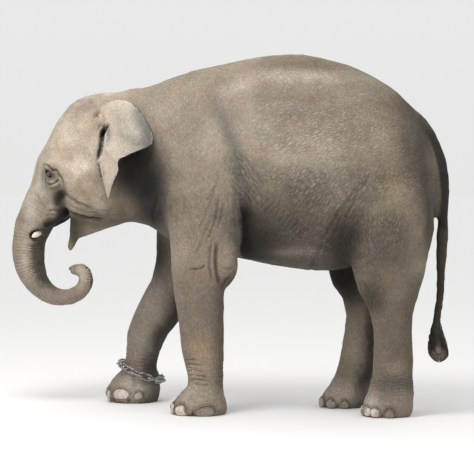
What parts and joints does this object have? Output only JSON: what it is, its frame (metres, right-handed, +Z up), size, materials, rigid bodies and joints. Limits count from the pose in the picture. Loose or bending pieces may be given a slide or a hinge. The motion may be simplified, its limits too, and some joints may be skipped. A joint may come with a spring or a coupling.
{
  "type": "asian elephant model",
  "caption": "Still, life-size standing Asian elephant cow with a curled trunk, small ears, short tushes, a tufted tail and a plain ankle chain.",
  "frame": {"origin": "on the floor under the middle of the animal's length and width", "axes": "+Z up; -X towards the head and +X towards the tail; -Y to the animal's left side"},
  "size_m": [2.7872, 0.986, 2.2274],
  "materials": {
    "skin": "dry, deeply wrinkled grey-brown hide",
    "ear_skin": "dry, finely wrinkled, paler hide",
    "eye": "glossy dark brown",
    "ivory": "satin cream ivory",
    "hair": "coarse black bristles",
    "chain_steel": "worn, slightly dull steel"
  },
  "bodies": {
    "root": {"torso": "skin", "neck": "skin", "head": "skin", "lower_jaw": "skin", "trunk_root": "skin", "trunk_upper": "skin", "trunk_lower": "skin", "trunk_curl": "skin", "trunk_tip": "skin", "foreleg_left_upper": "skin", "foreleg_left_lower": "skin", "forefoot_left": "skin", "foreleg_right_upper": "skin", "foreleg_right_lower": "skin", "forefoot_right": "skin", "hindleg_left_upper": "skin", "hindleg_left_lower": "skin", "hindfoot_left": "skin", "hindleg_right_upper": "skin", "hindleg_right_lower": "skin", "hindfoot_right": "skin", "tail_upper": "skin", "tail_lower": "skin", "tail_tuft": "hair", "ear_left": "ear_skin", "eye_left": "eye", "tush_left": "ivory", "ear_right": "ear_skin", "eye_right": "eye", "tush_right": "ivory", "chain_link_01": "chain_steel", "chain_link_02": "chain_steel", "chain_link_03": "chain_steel", "chain_link_04": "chain_steel", "chain_link_05": "chain_steel", "chain_link_06": "chain_steel", "chain_link_07": "chain_steel", "chain_link_08": "chain_steel", "chain_link_09": "chain_steel", "chain_link_10": "chain_steel", "chain_link_11": "chain_steel", "chain_link_12": "chain_steel", "chain_link_13": "chain_steel", "chain_link_14": "chain_steel", "chain_link_15": "chain_steel", "chain_link_16": "chain_steel"}
  },
  "joints": []
}
